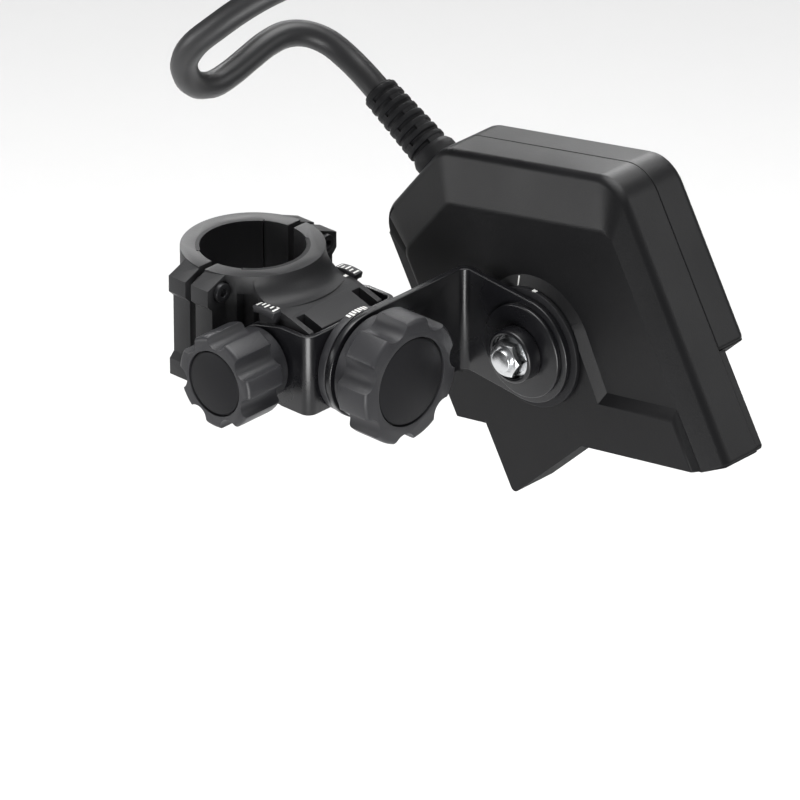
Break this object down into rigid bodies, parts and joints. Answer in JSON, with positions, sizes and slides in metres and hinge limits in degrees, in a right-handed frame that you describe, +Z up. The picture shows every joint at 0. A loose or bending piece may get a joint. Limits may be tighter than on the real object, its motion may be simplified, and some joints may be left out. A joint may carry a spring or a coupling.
{
  "type": "sonar transducer with pole clamp",
  "caption": "Pole-mounted sonar transducer: split pole clamp, tilting yoke with knobs and angle scales, bent arm, and a flat wedge-shaped two-part housing with a cable.",
  "frame": {"origin": "on the pole's axis, at the middle of the clamp's height", "axes": "+Z up along the pole, +X from the pole to the tilt yoke and the roll knob, +Y along the tilt axis towards the transducer"},
  "size_m": [0.2913, 0.2154, 0.2577],
  "materials": {
    "clamp_plastic": "satin black glass-filled plastic",
    "black_rubber": "matt black rubber",
    "steel": "bright stainless steel",
    "black_steel": "blackened steel",
    "black_plate": "black anodised bent plate",
    "scale_plastic": "matt black with white scale marks",
    "knob_plastic": "matt dark grey",
    "cap_plastic": "matt dark grey",
    "brass": "turned brass",
    "housing_plastic": "satin black",
    "array": "potted sonar elements",
    "board": "green solder mask",
    "cable_jacket": "satin black jacket",
    "plug_plastic": "satin black"
  },
  "bodies": {
    "clamp": {"clamp_front": "clamp_plastic", "clamp_rear": "clamp_plastic", "grip_pad_front": "black_rubber", "grip_pad_rear": "black_rubber", "clamp_screws": "black_steel", "clamp_nuts": "black_steel"},
    "yoke": {"yoke": "black_plate", "tilt_scale_left": "scale_plastic", "tilt_scale_right": "scale_plastic", "tilt_bolt": "steel", "tilt_washer": "steel", "roll_stud": "steel", "roll_scale": "scale_plastic"},
    "tilt_knob": {"tilt_knob": "knob_plastic", "tilt_knob_cap": "cap_plastic", "tilt_knob_insert": "brass"},
    "arm": {"arm": "black_plate", "roll_washer": "steel", "friction_disc": "black_rubber", "pivot_flange": "black_plate", "pivot_hub": "black_plate"},
    "roll_knob": {"roll_knob": "knob_plastic", "roll_knob_cap": "cap_plastic", "roll_knob_insert": "brass"},
    "transducer": {"pivot_washer": "steel", "pivot_nut": "steel", "pivot_stud": "steel", "front_shell": "housing_plastic", "rear_shell": "housing_plastic", "near_array": "array", "far_array": "array", "circuit_board": "board", "strain_relief": "black_rubber", "cable": "cable_jacket", "cable_coil": "cable_jacket", "coil_ties": "black_rubber", "cable_plug": "plug_plastic"}
  },
  "joints": [
    {"name": "yoke_tilt", "type": "hinge", "parent": "clamp", "child": "yoke", "pos_m": [0.0272, 0, -0.005], "axis": [0, 1, 0], "range_deg": [-2, 30]},
    {"name": "tilt_knob_turn", "type": "hinge", "parent": "yoke", "child": "tilt_knob", "pos_m": [0.0272, -0.036, -0.005], "axis": [0, -1, 0], "continuous": true},
    {"name": "arm_roll", "type": "hinge", "parent": "yoke", "child": "arm", "pos_m": [0.055, 0, -0.005], "axis": [1, 0, 0], "range_deg": [-45, 45]},
    {"name": "roll_knob_turn", "type": "hinge", "parent": "yoke", "child": "roll_knob", "pos_m": [0.067, 0, -0.005], "axis": [1, 0, 0], "continuous": true},
    {"name": "head_tilt", "type": "hinge", "parent": "arm", "child": "transducer", "pos_m": [0.0855, 0.0519, -0.0077], "axis": [0, 1, 0], "range_deg": [-45, 45]}
  ]
}
